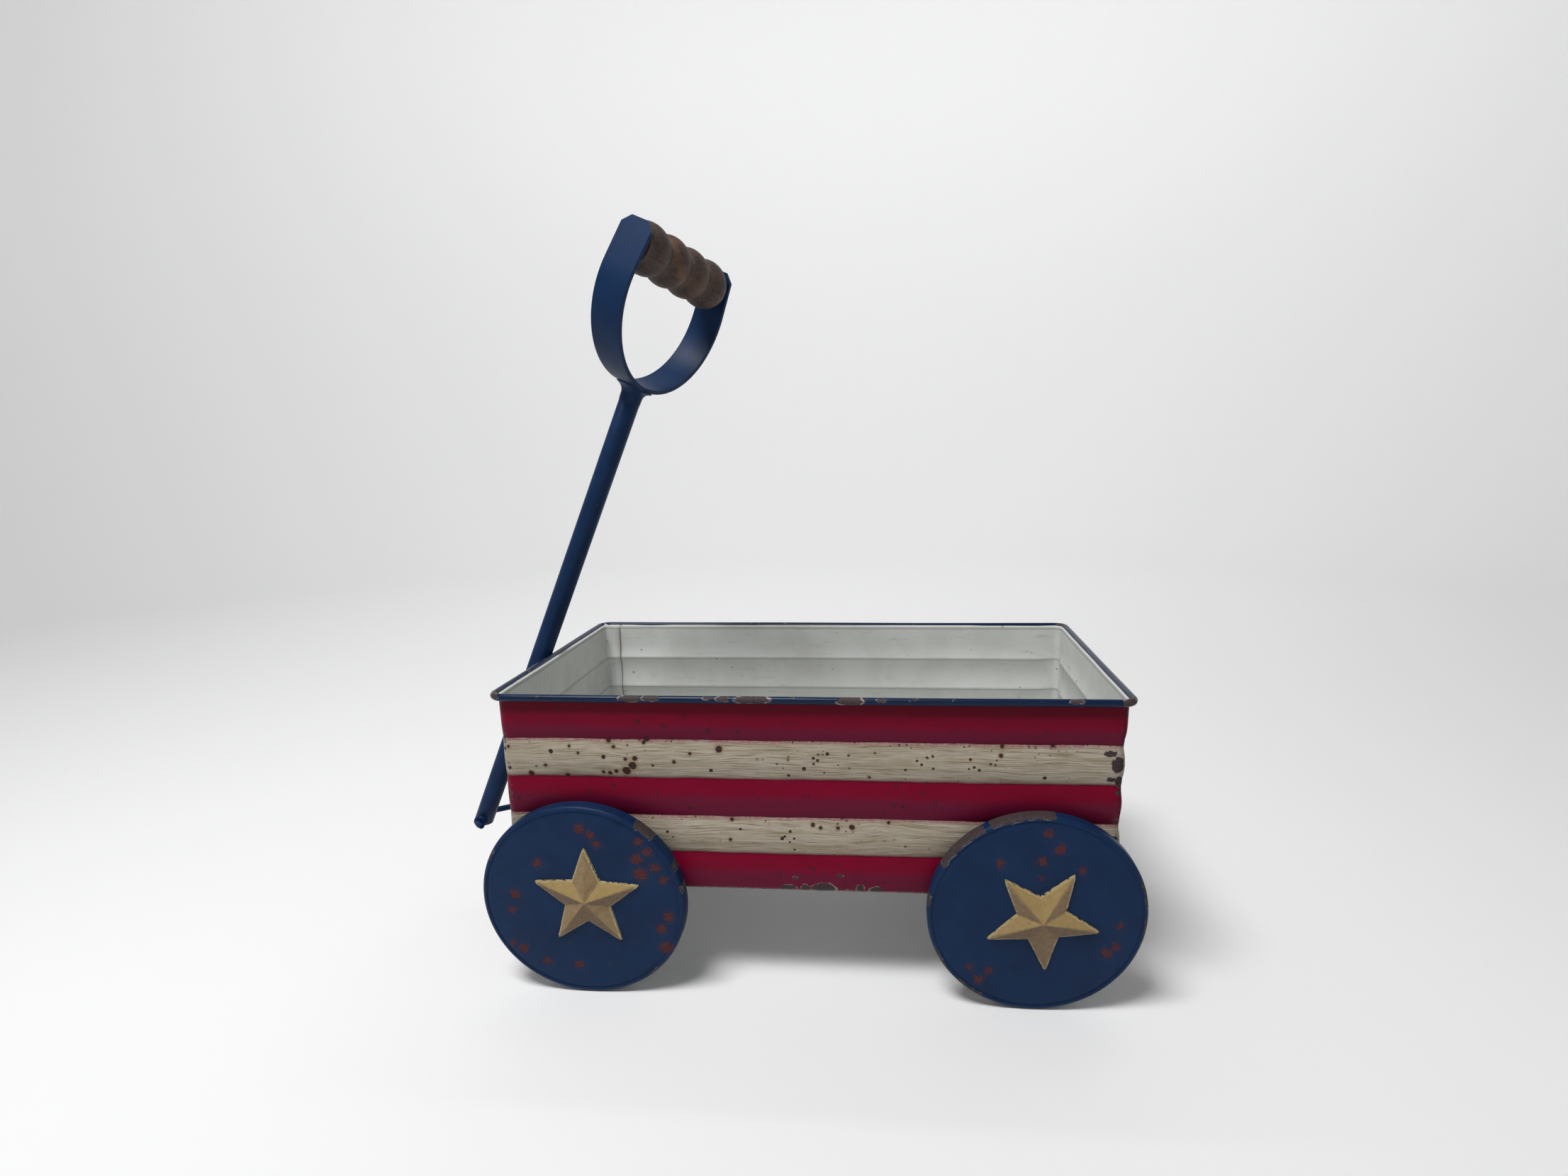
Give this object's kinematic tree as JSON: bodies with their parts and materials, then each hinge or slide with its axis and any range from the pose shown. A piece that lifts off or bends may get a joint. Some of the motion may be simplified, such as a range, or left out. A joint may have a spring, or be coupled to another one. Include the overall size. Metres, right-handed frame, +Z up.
{
  "type": "wagon with pull handle",
  "caption": "Small decorative sheet-metal wagon: ribbed open box with a rolled rim, pressed disc wheels with raised stars, and a hinged tube handle with a strap yoke and wooden bead grip.",
  "frame": {"origin": "on the ground under the middle of the wagon's whole length and width", "axes": "+X from the front (hitch and handle) to the rear, +Y to the wagon's right side, +Z up"},
  "size_m": [0.3998, 0.216, 0.394],
  "materials": {
    "striped_paint": "red and cream bands, semi-gloss, splattered, brushed and chipped",
    "navy_paint": "navy semi-gloss paint, worn to primer on edges",
    "cream_paint": "pale cream satin paint",
    "dark_steel": "dark dull steel",
    "walnut": "dark stained turned wood, rubbed"
  },
  "bodies": {
    "bed": {"sheet_left_front": "striped_paint", "sheet_right_rear": "striped_paint", "rim_roll": "navy_paint", "rim_wire": "dark_steel", "floor_pan": "cream_paint", "hitch_wire": "navy_paint", "hanger_front_left": "dark_steel", "hanger_front_right": "dark_steel", "hanger_rear_left": "dark_steel", "hanger_rear_right": "dark_steel"},
    "front_wheels": {"axle_front": "dark_steel", "wheel_front_left": "navy_paint", "wheel_front_right": "navy_paint", "hub_front_left": "dark_steel", "hub_front_right": "dark_steel"},
    "rear_wheels": {"axle_rear": "dark_steel", "wheel_rear_left": "navy_paint", "wheel_rear_right": "navy_paint", "hub_rear_left": "dark_steel", "hub_rear_right": "dark_steel"},
    "handle": {"pivot_sleeve": "navy_paint", "pull_tube": "navy_paint", "yoke_weld": "navy_paint", "yoke_strap": "navy_paint", "grip_pin": "dark_steel"},
    "bead_1": {"grip_bead_1": "walnut"},
    "bead_2": {"grip_bead_2": "walnut"},
    "bead_3": {"grip_bead_3": "walnut"},
    "bead_4": {"grip_bead_4": "walnut"}
  },
  "joints": [
    {"name": "front_axle", "type": "hinge", "parent": "bed", "child": "front_wheels", "pos_m": [-0.09114, 0, 0.055], "axis": [0, 1, 0], "continuous": true},
    {"name": "rear_axle", "type": "hinge", "parent": "bed", "child": "rear_wheels", "pos_m": [0.14486, 0, 0.055], "axis": [0, 1, 0], "continuous": true},
    {"name": "handle_pivot", "type": "hinge", "parent": "bed", "child": "handle", "pos_m": [-0.19214, 0, 0.0559], "axis": [0, -1, 0], "range_deg": [0, 118]},
    {"name": "bead_1_turn", "type": "hinge", "parent": "handle", "child": "bead_1", "pos_m": [-0.04498, 0, 0.37621], "axis": [0.3108, 0.9397, -0.1428], "continuous": true},
    {"name": "bead_2_turn", "type": "hinge", "parent": "handle", "child": "bead_2", "pos_m": [-0.04498, 0, 0.37621], "axis": [0.3108, 0.9397, -0.1428], "continuous": true},
    {"name": "bead_3_turn", "type": "hinge", "parent": "handle", "child": "bead_3", "pos_m": [-0.04498, 0, 0.37621], "axis": [0.3108, 0.9397, -0.1428], "continuous": true},
    {"name": "bead_4_turn", "type": "hinge", "parent": "handle", "child": "bead_4", "pos_m": [-0.04498, 0, 0.37621], "axis": [0.3108, 0.9397, -0.1428], "continuous": true}
  ]
}
